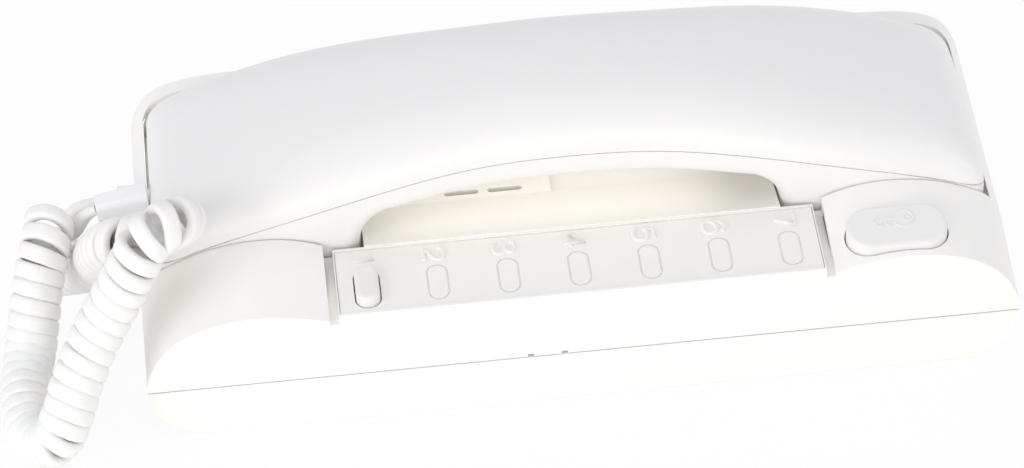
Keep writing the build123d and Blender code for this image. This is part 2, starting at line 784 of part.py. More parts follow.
def handset_plan(inset, low, high):
    # The outline of both shells in plan, waisted at the grip
    reach = handset_half_length - inset
    sides = []
    for side in (-1, 1):
        points = []
        for along, waist_gone, height_left, corner in handset_shares:
            if along > straight_share:
                break
            wide = cap_half_width - grip_waist * (1 - waist_gone) - inset
            points.append((along * reach, handset_middle + side * wide))
        points = [(-x, y) for x, y in reversed(points[1:])] + points
        sides.append([Vector(x, y, low) for x, y in points])
    front, rear = sides
    corner = max(cup_corner - inset, cup_corner / 4)
    wide = cap_half_width - inset
    y_low, y_high = handset_middle - wide, handset_middle + wide
    edges = [Edge.make_spline(front, tangents=[Vector(1, 0, 0)] * 2),
             Edge.make_spline(rear, tangents=[Vector(1, 0, 0)] * 2)]
    slant = corner * (1 - sqrt(2) / 2)
    for end in (-1, 1):
        near, far = front[0 if end < 0 else -1], rear[0 if end < 0 else -1]
        a, b = Vector(end * (reach - corner), y_low, low), Vector(end * reach, y_low + corner, low)
        c, d = Vector(end * reach, y_high - corner, low), Vector(end * (reach - corner), y_high, low)
        edges += [Edge.make_line(near, a), Edge.make_line(b, c), Edge.make_line(d, far),
                  Edge.make_three_point_arc(a, Vector(end * (reach - slant), y_low + slant, low), b),
                  Edge.make_three_point_arc(c, Vector(end * (reach - slant), y_high - slant, low), d)]
    return extrude(Face(Wire.combine(edges)[0]), high - low, dir=(0, 0, 1))


def cup_profile(inset):
    # Cups and grip seen from the front; the grip's underside turns down into the cups
    bottom = cup_bottom + inset
    inner, outer = cup_inner + inset, handset_half_length - inset
    top = parting_top + overrun
    under = grip_depth - inset
    bend = cup_round + inset
    turn_x = inner - bend
    turn_z = arc_height(parting_top, parting_radius, turn_x) - under
    y = handset_front - overrun

    def at(x, z):
        return Vector(x, y, z)

    edges = []
    for side in (-1, 1):
        start, corner_end = at(side * turn_x, turn_z), at(side * inner, turn_z - bend)
        shoulder = at(side * (turn_x + bend * sqrt(2) / 2), turn_z - bend * (1 - sqrt(2) / 2))
        edges += [Edge.make_three_point_arc(start, shoulder, corner_end),
                  Edge.make_line(corner_end, at(side * inner, bottom)),
                  Edge.make_line(at(side * inner, bottom), at(side * outer, bottom)),
                  Edge.make_line(at(side * outer, bottom), at(side * outer, top))]
    edges += [Edge.make_three_point_arc(at(-turn_x, turn_z), at(0, parting_top - under), at(turn_x, turn_z)),
              Edge.make_line(at(-outer, top), at(outer, top))]
    return extrude(Face(Wire.combine(edges)[0]), handset_rear - handset_front + 2 * overrun, dir=(0, 1, 0))


def handset_screw_seat():
    return arc_height(parting_top, parting_radius, handset_screw_x) - grip_depth + screw_head_height


def boot_frame():
    return Plane((-handset_half_length, cord_boot_y, cord_boot_z), x_dir=(0, 1, 0), z_dir=boot_way)


def boot_hole():
    return boot_frame().location * Cylinder(boot_neck + fit_gap, 4 * handset_wall)


def make_handset_outer_shell():
    shell = dome(0) - dome(handset_wall)
    for side in (-1, 1):
        boss = post(side * handset_screw_x, handset_middle, (parting_top - grip_depth, crest_top),
                    boss_radius) & dome(handset_wall / 2)
        low = handset_screw_seat() + handset_wall + fit_gap
        boss = boss & block((-handset_half_length, handset_half_length), (handset_front, handset_rear),
                            (low, crest_top))
        boss = boss - post(side * handset_screw_x, handset_middle,
                           (0, handset_screw_seat() + handset_screw_length + fit_gap),
                           screw_radius + seam_gap / 4)
        shell = (shell - beyond_parting(parting_gap, -1) + boss) if side < 0 else shell + boss
    return shell - boot_hole()


def grip_edges(body):
    # The long edges under the grip and down the cups' inner walls
    found = []
    for edge in body.edges():
        middle = edge.position_at(0.5)
        under = middle.Z < arc_height(parting_top, parting_radius, middle.X) - grip_depth / 2
        at_side = abs(middle.Y - handset_middle) > cap_half_width - 2 * grip_waist
        if under and at_side and abs(middle.X) < cup_inner + fit_gap and edge.length > handset_wall:
            found.append(edge)
    return found


def make_handset_inner_shell():
    low, high = cup_bottom - overrun, parting_top + 2 * overrun
    body = cup_profile(0) & handset_plan(0, low, high)
    body = body - beyond_parting(-parting_gap, 1)
    body = body.fillet(grip_edge_round, grip_edges(body))
    hollow = cup_profile(handset_wall) & handset_plan(handset_wall, low, high)
    shell = body - hollow
    for side in (-1, 1):
        x = side * handset_screw_x
        seat = handset_screw_seat()
        shell = shell + (post(x, handset_middle, (cup_bottom, seat + handset_wall),
                              screw_head_radius + handset_wall) & body)
        shell = shell - post(x, handset_middle, (cup_bottom, seat), screw_head_radius + fit_gap)
        shell = shell - post(x, handset_middle, (cup_bottom, crest_top), screw_radius + fit_gap)
    shell = shell - beyond_parting(-parting_gap, 1)
    for k in range(cup_hole_count):
        turn = 2 * pi * k / cup_hole_count
        shell = shell - post(receiver_x + cup_hole_ring * cos(turn),
                             handset_middle + cup_hole_ring * sin(turn),
                             (cup_bottom - overrun, cup_bottom + overrun), cup_hole_radius)
    for x in (receiver_x, -receiver_x):
        shell = shell - post(x, handset_middle, (cup_bottom - overrun, cup_bottom + overrun),
                             cup_hole_radius)
    return shell - boot_hole()


def make_cord_boot():
    tip = RectangleRounded(2 * boot_tip, 2 * boot_tip, boot_tip / 2)
    root = RectangleRounded(2 * boot_root, 2 * boot_root, boot_root / 2)
    body = loft([Pos(0, 0, 2 * fit_gap) * root, Pos(0, 0, boot_length) * tip])
    back = handset_wall + 2 * fit_gap
    neck = Pos(0, 0, (2 * fit_gap - back) / 2) * Cylinder(boot_neck, back + 2 * fit_gap)
    flange = Pos(0, 0, -back - boot_flange_thickness / 2) * Cylinder(boot_flange, boot_flange_thickness)
    # The flange is flat on top, under the outer shell
    flange = (boot_frame().location * flange) & block((-half_length, 0), (-half_width, half_width),
                                                      (0, cord_boot_z + boot_neck))
    return boot_frame().location * (body + neck) + flange


def make_receiver():
    low = cup_bottom + handset_wall + receiver_ring
    return (post(receiver_x, handset_middle, (low, low + receiver_height - tongue_wall), receiver_radius)
            + post(receiver_x, handset_middle, (low, low + receiver_height), receiver_radius / 2))


def make_receiver_ring():
    low = cup_bottom + handset_wall
    return sleeve(receiver_x, handset_middle, (low, low + receiver_ring), receiver_radius,
                  receiver_radius - 2 * receiver_ring)


def make_microphone():
    low = cup_bottom + handset_wall + microphone_boot_wall
    return post(-receiver_x, handset_middle, (low, low + microphone_height), microphone_radius)


def make_microphone_boot():
    low = cup_bottom + handset_wall
    outer = microphone_radius + fit_gap / 2 + microphone_boot_wall
    cup = post(-receiver_x, handset_middle, (low, low + microphone_boot_wall + microphone_height), outer)
    cup = cup - post(-receiver_x, handset_middle, (low + microphone_boot_wall, crest_top),
                     microphone_radius + fit_gap / 2)
    return cup - post(-receiver_x, handset_middle, (0, crest_top), cup_hole_radius)


# Curly cord

def spline_line(points, pieces):
    # Points on the smooth line that has these points as its control points, in equal small steps
    chain = [Vector(*p) for p in points]
    line_points = [chain[0]]
    for k in range(1, len(chain) - 1):
        start = chain[0] if k == 1 else (chain[k - 1] + chain[k]) * 0.5
        end = chain[-1] if k == len(chain) - 2 else (chain[k] + chain[k + 1]) * 0.5
        for step in range(1, pieces + 1):
            t = step / pieces
            line_points.append(start * (1 - t) ** 2 + chain[k] * (2 * t * (1 - t)) + end * t ** 2)
    return line_points


def lengths_along(points):
    total = [0]
    for a, b in zip(points, points[1:]):
        total.append(total[-1] + (b - a).length)
    return total


def resample(points, step):
    total = lengths_along(points)
    count = ceil(total[-1] / step)
    result, k = [], 0
    for n in range(count + 1):
        want = total[-1] * n / count
        while k < len(points) - 2 and total[k + 1] < want:
            k += 1
        part = (want - total[k]) / (total[k + 1] - total[k])
        result.append(points[k] + (points[k + 1] - points[k]) * part)
    return result


def curly_points():
    # A helix round the route; the turns open on a bend so that its inner side keeps its gap
    step = cord_diameter / 20
    chosen = [(x - half_length, y, z) for x, y, z in coil_route]
    route = resample(spline_line(chosen, coil_line_pieces), step)
    ways = [(b - a).normalized() for a, b in zip(route, route[1:])]
    ways.append(ways[-1])
    window = int(coil_radius / step)
    bends = []
    for k in range(len(route)):
        low, high = max(k - window, 0), min(k + window, len(route) - 1)
        turn = acos(max(-1, min(1, ways[low].dot(ways[high]))))
        bends.append(turn / ((high - low) * step))
    side = Vector(0, -ways[0].Z, ways[0].Y).normalized()
    turned, helix, phases = 0, [], []
    for k, (centre, way) in enumerate(zip(route, ways)):
        side = (side - way * side.dot(way)).normalized()
        other = way.cross(side)
        helix.append(centre + (side * cos(turned) - other * sin(turned)) * coil_radius)
        phases.append(turned)
        low, high = max(k - window, 0), min(k + window, len(route) - 1)
        bend = max(bends[low:high + 1])
        pitch = (cord_diameter + coil_gap) / (1 - min(coil_radius * bend, coil_bend_share))
        turned += 2 * pi * step / pitch
    return helix, phases


def curly_ways(helix):
    ways = []
    for k in range(len(helix)):
        ways.append((helix[min(k + 1, len(helix) - 1)] - helix[max(k - 1, 0)]).normalized())
    return ways


def curly_nodes():
    # Places on the helix, a share of a turn apart, where its arcs meet
    helix, phases = curly_points()
    ways = curly_ways(helix)
    lift = Vector(*coil_end_way)
    last_turn = [k for k in range(len(helix)) if phases[k] > phases[-1] - 2 * pi]
    end = max(last_turn, key=lambda k: ways[k].dot(lift))
    count = round(phases[end] / (2 * pi / coil_steps))
    nodes, k = [], 0
    for n in range(count + 1):
        want = phases[end] * n / count
        while k < end and phases[k] < want:
            k += 1
        nodes.append((helix[k], ways[k]))
    print("turns", round(phases[end] / (2 * pi), 1))
    return nodes


def gap_to_itself(edges):
    points = []
    for edge in edges:
        count = max(2, ceil(edge.length / (cord_diameter / 4)))
        points += [edge.position_at(n / count) for n in range(count)]
    total = lengths_along(points)
    cells, size = {}, 2 * cord_diameter
    for k, p in enumerate(points):
        cells.setdefault((p.X // size, p.Y // size, p.Z // size), []).append(k)
    least = 2 * size
    for (i, j, l), members in cells.items():
        near = [n for a in (-1, 0, 1) for b in (-1, 0, 1) for c in (-1, 0, 1)
                for n in cells.get((i + a, j + b, l + c), [])]
        for k in members:
            for n in near:
                if total[n] - total[k] > 3 * cord_diameter:
                    least = min(least, (points[n] - points[k]).length)
    return least - cord_diameter


def curly_path():
    nodes = curly_nodes()
    first, first_way = nodes[0]
    last, last_way = nodes[-1]
    edges = [Edge.make_line(first - first_way * cord_diameter, first)]
    for (a, a_way), (b, b_way) in zip(nodes, nodes[1:]):
        edges += biarc(a, a_way, b, b_way)
    edges.append(Edge.make_line(last, last + last_way * cord_diameter))
    return edges


def make_handset_lead(coil_start, coil_way):
    frame = boot_frame()
    tip = frame.origin + frame.z_dir * boot_length
    return sweep_round(biarc(tip, frame.z_dir, coil_start, coil_way), cord_diameter)


def bush_tip():
    return Vector(-half_length - bush_length, bush_y, bush_z)


def make_base_lead(coil_end, coil_way):
    return sweep_round(biarc(coil_end, coil_way, bush_tip(), Vector(1, 0, 0)), cord_diameter)


def make_base_bush():
    outside = Pos(-half_length - bush_length / 2, bush_y, bush_z) * Rot(0, 90, 0)
    body = outside * Cylinder(bush_radius, bush_length - 2 * seam_gap)
    neck_radius = bush_radius - base_wall / 2 - seam_gap
    neck = (Pos(-half_length + base_wall / 2, bush_y, bush_z) * Rot(0, 90, 0)
            * Cylinder(neck_radius, base_wall + 2 * fit_gap + bush_length))
    collar = (Pos(-half_length + base_wall + fit_gap + seam_gap + base_wall / 4, bush_y, bush_z)
              * Rot(0, 90, 0) * Cylinder(bush_radius, base_wall / 2))
    return body + neck + collar


def save(shape, name):
    export_step(shape, os.path.join("parts", name + ".step"))
    print(name, round(shape.volume, 1))


def build_base():
    save(make_back_cover(), "back_cover")
    save(make_front_housing(), "front_housing")
    save(make_call_strip(), "call_strip")
    save(make_call_key(), "call_key")
    save(make_door_key(), "door_key")
    save(make_switch(call_key_place(), place_y), "call_switch")
    save(make_switch(door_key_x, door_key_y), "door_switch")
    inner = key_stem + spring_clearance
    save(make_spring(call_key_place(), place_y, board_top + 0, call_key_under(),
                     switch_size / 2 * sqrt(2) + spring_clearance), "call_key_spring")
    save(make_spring(door_key_x, door_key_y, board_top, door_key_under(),
                     switch_size / 2 * sqrt(2) + spring_clearance), "door_key_spring")
    save(make_hook_plunger(), "hook_plunger")
    save(make_spring(hook_x, hook_y, board_top, hook_flange_bottom(), inner), "hook_spring")
    save(make_hook_switch(), "hook_switch")
    save(make_circuit_board(), "circuit_board")
    save(make_terminal_block(), "terminal_block")
    save(make_terminal_screws(), "terminal_screws")
    save(make_capacitors(), "capacitors")
    save(make_tone_chip(), "tone_chip")
    save(make_speaker_frame(), "speaker_frame")
    save(make_speaker_cone(), "speaker_cone")
    save(make_speaker_magnet(), "speaker_magnet")
    save(Compound(children=[screw(x, y, boss_seat, casing_screw_length)
                            for x, y in casing_screw_places()]), "casing_screws")
    save(Compound(children=[screw(x, y, board_top, board_screw_length, -1)
                            for x, y in board_screw_places()]), "board_screws")


def build_cord():
    edges = curly_path()
    print("curly cord's least gap to itself", round(gap_to_itself(edges), 3))
    print("curly cord's length", round(sum(edge.length for edge in edges), 1))
    save(sweep_round(edges, cord_diameter), "curly_cord")
    start, end = edges[0].position_at(0), edges[-1].position_at(1)
    save(make_handset_lead(start, edges[0].tangent_at(0)), "handset_lead")
    save(make_base_lead(end, edges[-1].tangent_at(1)), "base_lead")
    save(make_base_bush(), "base_cord_bush")


def build_handset():
    save(make_handset_outer_shell(), "handset_outer_shell")
    save(make_handset_inner_shell(), "handset_inner_shell")
    save(make_receiver(), "earpiece_receiver")
    save(make_receiver_ring(), "receiver_ring")
    save(make_microphone(), "microphone_capsule")
    save(make_microphone_boot(), "microphone_boot")
    save(Compound(children=[screw(side * handset_screw_x, handset_middle, handset_screw_seat(),
                                  handset_screw_length) for side in (-1, 1)]), "handset_screws")
    save(make_cord_boot(), "cord_boot")


os.makedirs("parts", exist_ok=True)
build_base()
build_handset()
build_cord()
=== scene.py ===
"""A white wall door phone on a pale table: casing, handset in its cradle, and curly cord."""

import math

import bmesh
import bpy
import numpy as np
from mathutils import Matrix, Vector


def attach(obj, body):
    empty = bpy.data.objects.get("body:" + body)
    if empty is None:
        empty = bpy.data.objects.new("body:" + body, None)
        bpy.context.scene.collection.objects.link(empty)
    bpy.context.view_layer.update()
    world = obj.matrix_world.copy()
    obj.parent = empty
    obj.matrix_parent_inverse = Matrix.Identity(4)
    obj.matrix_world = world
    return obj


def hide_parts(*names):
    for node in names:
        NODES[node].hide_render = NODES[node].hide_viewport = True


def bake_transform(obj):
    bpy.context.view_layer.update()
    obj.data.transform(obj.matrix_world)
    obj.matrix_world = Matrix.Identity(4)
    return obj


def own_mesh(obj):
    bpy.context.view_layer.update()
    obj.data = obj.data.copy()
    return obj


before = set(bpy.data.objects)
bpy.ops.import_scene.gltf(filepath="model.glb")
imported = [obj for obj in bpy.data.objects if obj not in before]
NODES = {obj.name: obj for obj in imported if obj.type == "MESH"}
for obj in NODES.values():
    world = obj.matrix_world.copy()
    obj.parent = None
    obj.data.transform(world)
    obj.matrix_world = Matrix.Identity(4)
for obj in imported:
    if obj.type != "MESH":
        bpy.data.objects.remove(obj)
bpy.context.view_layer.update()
MM = 0.001

# Sizes of the casing, in millimetres, that the pieces below sit on
BASE_LEFT = -113.0
DECK_FRONT, DECK_DEPTH = -46.5, 24.5
DECK_LOW, DECK_RISE = 35.2, 1.4
HILL_LOW, HILL_RISE = 36.9, 5.2
STRIP_DROP = 0.3
PLACE_COUNT, PLACE_PITCH = 7, 18.2
DOOR_KEY_RISE = 1.8

# Each key spring with the joint that presses it, and that joint's travel in millimetres
KEY_SPRINGS = (("door_key_spring", "door_press", 2.0), ("call_key_spring", "call_press", 1.5))

# Curly cord, in millimetres: a flat section, wound with its broad side outward
CORD_WIDTH, CORD_THICKNESS, CORD_ROUND = 4.45, 2.9, 1.2
COIL_RADIUS, COIL_PITCH = 5.4, 4.55
# Where the coil bends, its turns press together near the table and open at its crest
LOW_BEND_SHARE, HIGH_BEND_SHARE, CREST_FROM = -0.38, 0.14, 30.0
ROUTE_STEP, ROUTE_FINENESS = 0.185, 24
TURN_POINTS, STRAND_FINENESS = 16, 3
# The coil's middle line: how far each chosen point is from the casing's left end, then its Y and Z
COIL_ROUTE = [
    (-22.1, 3.5, 34.7), (-22.5, -0.5, 34.6), (-23.6, -4.8, 32.9), (-25.0, -8.3, 30.2),
    (-26.8, -13.0, 24.8), (-28.4, -18.4, 18.3), (-30.0, -23.0, 12.7), (-31.2, -29.1, 10.0),
    (-31.7, -36.5, 9.7), (-31.4, -45.6, 9.1), (-29.5, -52.6, 8.6), (-23.8, -58.8, 12.6),
    (-20.5, -56.8, 19.2), (-17.8, -52.3, 24.7), (-14.3, -48.1, 30.8), (-9.7, -44.1, 37.5),
    (-4.5, -41.8, 45.3), (-0.2, -40.9, 52.9), (4.2, -38.7, 60.8), (10.4, -35.7, 61.8),
    (13.3, -29.9, 58.4), (11.1, -25.4, 53.1), (5.0, -25.4, 49.6), (0.2, -24.8, 48.7),
    (-4.1, -22.6, 46.3), (-7.6, -16.2, 39.7), (-10.3, -6.7, 29.0), (-13.2, 3.0, 18.5),
    (-17.5, 10.2, 11.2), (-23.1, 14.3, 7.7)]
COIL_END_WAY = Vector((0, 0.64, 0.77))
# The two straight leads: from the boot's tip to the coil, and from the coil to the bush's tip
BOOT_TIP, BOOT_WAY = Vector((-122.61, 3.45, 36.65)), Vector((-0.994, -0.066, -0.087))
BOOT_RUN, COIL_EASE, END_RUN, END_EASE = 3.0, 2.0, 3.7, 6.0
BUSH_TIP = Vector((-118.0, 26.0, 21.0))
BUSH_BEND, BUSH_RUN = Vector((-13.0, 0, -1.5)), Vector((-5.0, 0, 0))
LEAD_FACING, LEAD_TWIST = Vector((0, 0.64, 0.77)), 1.5

# Digits of the call strip: their size, their place on each call place, and their ridge, in millimetres
DIGIT_TALL, DIGIT_WIDE = 5.1, 4.6
DIGIT_SHIFT, DIGIT_Y = -0.35, -26.9
DIGIT_RIDGE, DIGIT_LIFT = 0.52, 0.05
# Strokes of the digits in a square of side 1: points, and whether the stroke is rounded
STROKES = {
    "1": [([(0.2, 0.74), (0.52, 1.0), (0.52, 0.0)], False)],
    "2": [([(0.06, 0.74), (0.12, 0.97), (0.5, 1.04), (0.9, 0.97), (0.98, 0.68), (0.78, 0.42), (0.3, 0.2),
            (0.06, 0.0)], True),
          ([(0.06, 0.0), (0.96, 0.0)], False)],
    "3": [([(0.06, 0.84), (0.2, 1.02), (0.6, 1.04), (0.94, 0.95), (0.9, 0.62), (0.64, 0.54),
            (0.4, 0.54)], True),
          ([(0.4, 0.54), (0.7, 0.54), (1.02, 0.46), (1.0, 0.04), (0.62, -0.05), (0.2, -0.02),
            (0.0, 0.18)], True)],
    "4": [([(0.72, 0.0), (0.72, 1.0), (0.02, 0.3), (0.98, 0.3)], False)],
    "5": [([(0.9, 1.0), (0.2, 1.0), (0.12, 0.5)], False),
          ([(0.12, 0.5), (0.3, 0.66), (0.7, 0.68), (1.0, 0.54), (1.0, 0.1), (0.66, -0.05),
            (0.22, -0.02), (0.02, 0.16)], True)],
    "6": [([(0.88, 0.88), (0.7, 1.04), (0.34, 1.04), (0.06, 0.8), (0.02, 0.3), (0.1, 0.0), (0.5, -0.05),
            (0.9, 0.0), (1.0, 0.3), (0.88, 0.58), (0.5, 0.66), (0.14, 0.52), (0.06, 0.34)], True)],
    "7": [([(0.02, 1.0), (0.98, 1.0), (0.62, 0.5), (0.4, 0.0)], False)],
}

# Key mark on the door key, in millimetres: a round bow with its eye, and a shaft with two teeth
BOW_X, MARK_Y, BOW_RADIUS, SHAFT_HALF = 83.9, -36.3, 2.6, 0.75
EYE_SHIFT, EYE_RADIUS = 0.9, 0.75
BOW_STEPS, EYE_STEPS = 28, 14
MARK_RIDGE, MARK_LIFT = 0.22, 0.02
# From the bow round the tip and back under the teeth: X, and how far from the mark's middle line
SHAFT = [(76.6, SHAFT_HALF), (75.9, 0), (76.6, -SHAFT_HALF), (77.1, -1.9), (78.2, -1.9),
         (78.5, -SHAFT_HALF), (79.2, -SHAFT_HALF), (79.5, -1.7), (80.5, -1.7), (80.8, -SHAFT_HALF)]

# Camera: its turns in degrees, the point it looks at in millimetres and how far that is in metres,
# and its lens, in pixels of the picture's width and in millimetres
CAMERA_TURN, CAMERA_LIFT, CAMERA_ROLL = -3.82, 40.0, 3.04
CAMERA_TARGET, CAMERA_DISTANCE = (-14.85, -7.25, 23.78), 1.14145
FOCAL_PIXELS, PICTURE_PIXELS, SENSOR_WIDTH = 4341.09, 1024, 36
CLIP_NEAR, CLIP_FAR = 0.05, 20

# Table, in metres: half its side, and how far it lies below the casing's back
TABLE_HALF, TABLE_DROP = 3.0, 0.0002
TABLE_GLOW = 0.9

# Lamps, in metres and watts: place, what the lamp faces, width and height, power, colour
CASING_MIDDLE = (0, 0, 0.03)
LAMPS = {
    "front_softbox": ((-0.25, -1.1, 0.2), CASING_MIDDLE, (1.1, 0.5), 3.3, "#FFFAF0"),
    "left_softbox": ((-0.9, -0.6, 0.45), CASING_MIDDLE, (0.5, 0.6), 2.9, "#FFFFFF"),
    "right_softbox": ((0.9, -0.2, 0.5), CASING_MIDDLE, (0.5, 0.6), 1.1, "#FFFFFF"),
    "top_softbox": ((0.0, 0.4, 1.1), CASING_MIDDLE, (1.0, 0.6), 1.2, "#F6F7FF"),
    # Light that bounces about under the pale grip
    "grip_bounce": ((-0.008, 0.0, 0.0436), (-0.008, 0.0, 0), (0.094, 0.036), 0.005, "#FFFBF4"),
    # And in the narrow gap between the handset's left end and the cradle
    "end_bounce": ((-0.10875, 0.022, 0.0365), (-0.10875, 0.022, 0), (0.0006, 0.036), 0.0002, "#FFFFFF"),
}


# Objects and meshes

def placed(name, data):
    made = bpy.data.objects.new(name, data)
    bpy.context.scene.collection.objects.link(made)
    return made


def final_mesh(holder):
    # The mesh that the holder shows, with its bevel or modifier applied; the holder itself goes
    shown = holder.evaluated_get(bpy.context.evaluated_depsgraph_get())
    mesh = bpy.data.meshes.new_from_object(shown)
    bpy.data.objects.remove(holder)
    return mesh


def nurbs_line(points, fineness):
    # The points of the smooth line that has these points as its control points
    least_step = 0.02
    curve = bpy.data.curves.new("line", "CURVE")
    curve.dimensions = "3D"
    curve.resolution_u = fineness
    spline = curve.splines.new("NURBS")
    spline.points.add(len(points) - 1)
    for place, point in zip(spline.points, points):
        place.co = (*point, 1.0)
    spline.order_u = 3
    spline.use_endpoint_u = True
    mesh = final_mesh(placed("line", curve))
    line = [mesh.vertices[0].co.copy()]
    for vertex in mesh.vertices[1:]:
        if (vertex.co - line[-1]).length > least_step:
            line.append(vertex.co.copy())
    bpy.data.curves.remove(curve)
    bpy.data.meshes.remove(mesh)
    return line


def evenly(points, step):
    # The same line with its points about one step apart
    total = [0.0]
    for a, b in zip(points, points[1:]):
        total.append(total[-1] + (b - a).length)
    count = math.ceil(total[-1] / step)
    even, k = [], 0
    for n in range(count + 1):
        want = total[-1] * n / count
        while k < len(points) - 2 and total[k + 1] < want:
            k += 1
        even.append(points[k].lerp(points[k + 1], (want - total[k]) / (total[k + 1] - total[k])))
    return even


# Camera

def set_camera():
    turn, lift, roll = (math.radians(angle) for angle in (CAMERA_TURN, CAMERA_LIFT, CAMERA_ROLL))
    back = Vector((math.sin(turn) * math.cos(lift), -math.cos(turn) * math.cos(lift), math.sin(lift)))
    level = Vector((math.cos(turn), math.sin(turn), 0))
    upright = back.cross(level)
    across = level * math.cos(roll) - upright * math.sin(roll)
    up = level * math.sin(roll) + upright * math.cos(roll)
    place = Matrix((across, up, back)).transposed().to_4x4()
    place.translation = Vector(CAMERA_TARGET) * MM + back * CAMERA_DISTANCE
    lens = bpy.data.cameras.new("camera")
    lens.sensor_width = SENSOR_WIDTH
    lens.lens = FOCAL_PIXELS / PICTURE_PIXELS * SENSOR_WIDTH
    lens.clip_start = CLIP_NEAR
    lens.clip_end = CLIP_FAR
    camera = placed("camera", lens)
    camera.matrix_world = place
    bpy.context.scene.camera = camera


# Materials

def colour(code):
    # An sRGB hex value as the linear colour that the shader takes
    parts = [int(code[k:k + 2], 16) / 255 for k in (1, 3, 5)]
    return [p / 12.92 if p <= 0.04045 else ((p + 0.055) / 1.055) ** 2.4 for p in parts] + [1.0]


def add(tree, kind, inputs=None, links=None, **settings):
    # One node with its settings, its socket values and what is linked to it
    node = tree.nodes.new(kind)
    for name, value in settings.items():
        setattr(node, name, value)
    for name, value in (inputs or {}).items():
        node.inputs[name].default_value = value
    for name, source in (links or {}).items():
        tree.links.new(source, node.inputs[name])
    return node


def blank(name):
    made = bpy.data.materials.new(name)
    made.use_nodes = True
    made.node_tree.nodes.clear()
    return made, made.node_tree


def drifting(tree, where, scale, base, shade):
    # A colour that drifts between two near ones
    drift = add(tree, "ShaderNodeTexNoise", {"Scale": scale, "Detail": 2.0}, {"Vector": where})
    tint = add(tree, "ShaderNodeMix", None, {"Factor": drift.outputs["Fac"]}, data_type="RGBA")
    tint.inputs[6].default_value = colour(base)
    tint.inputs[7].default_value = colour(shade)
    return tint.outputs[2]


def grained(name, base, shade, roughness, spread, grain, depth, cloud=18.0, **shader):
    # A surface whose colour drifts a little over some millimetres, with a fine grain in its gloss
    # and relief; grain, depth and cloud are in millimetres
    made, tree = blank(name)
    where = add(tree, "ShaderNodeTexCoord").outputs["Object"]
    tint = drifting(tree, where, 1 / (cloud * MM), base, shade)
    fine = add(tree, "ShaderNodeTexNoise", {"Scale": 1 / (grain * MM), "Detail": 3.0, "Roughness": 0.6},
               {"Vector": where})
    gloss = add(tree, "ShaderNodeMapRange",
                {"To Min": roughness - spread, "To Max": roughness + spread},
                {"Value": fine.outputs["Fac"]})
    relief = add(tree, "ShaderNodeBump", {"Strength": 0.35, "Distance": depth * MM},
                 {"Height": fine.outputs["Fac"]})
    surface = add(tree, "ShaderNodeBsdfPrincipled", shader,
                  {"Base Color": tint, "Roughness": gloss.outputs["Result"],
                   "Normal": relief.outputs["Normal"]})
    add(tree, "ShaderNodeOutputMaterial", None, {"Surface": surface.outputs["BSDF"]})
    return made


def glow_inside(weight, reach):
    # Light that goes a little way into a pale plastic; reach is in metres
    return {"Subsurface Weight": weight, "Subsurface Scale": reach}


def make_outer_materials():
    made = {}
    # ABS, moulded against a fine-blasted tool: satin, with soft highlights
    made["casing"] = grained("moulded_abs_casing", "#FBFAF5", "#F8F6F0", 0.42, 0.05, 1.1, 0.02,
                             IOR=1.53, **glow_inside(0.05, 0.003))
    # ABS from a smoother tool, a shade cooler: it reflects a little more sharply
    made["handset"] = grained("moulded_abs_handset", "#F5F4F1", "#F3F2EF", 0.36, 0.04, 1.2, 0.015,
                              IOR=1.53, **glow_inside(0.05, 0.003))
    # ABS strip with a finer matt grain, a step greyer than the casing
    made["strip"] = grained("textured_abs_strip", "#F7F5F0", "#F4F2EC", 0.5, 0.05, 0.8, 0.03, IOR=1.53)
    # ABS keys: satin and a step greyer, so that they stand out from the casing
    made["key"] = grained("moulded_abs_key", "#F1F0ED", "#EDECE8", 0.4, 0.04, 0.9, 0.015, IOR=1.53)
    # Soft PVC, extruded: waxy, faintly uneven along its length
    made["cord"] = grained("extruded_pvc_cord", "#F8F7F4", "#F3F2EE", 0.46, 0.06, 1.6, 0.02, cloud=9.0,
                           IOR=1.52, **glow_inside(0.12, 0.002))
    # Soft PVC, moulded: pale and duller than the cord; its colour is raised to full white as painted
    # light, lifting it out of the shade it sits in between the handset and the coil
    made["boot"] = grained("moulded_pvc_boot", "#FFFFFF", "#FDFDFB", 0.5, 0.05, 1.0, 0.02,
                           IOR=1.52, **glow_inside(0.1, 0.002))
    return made


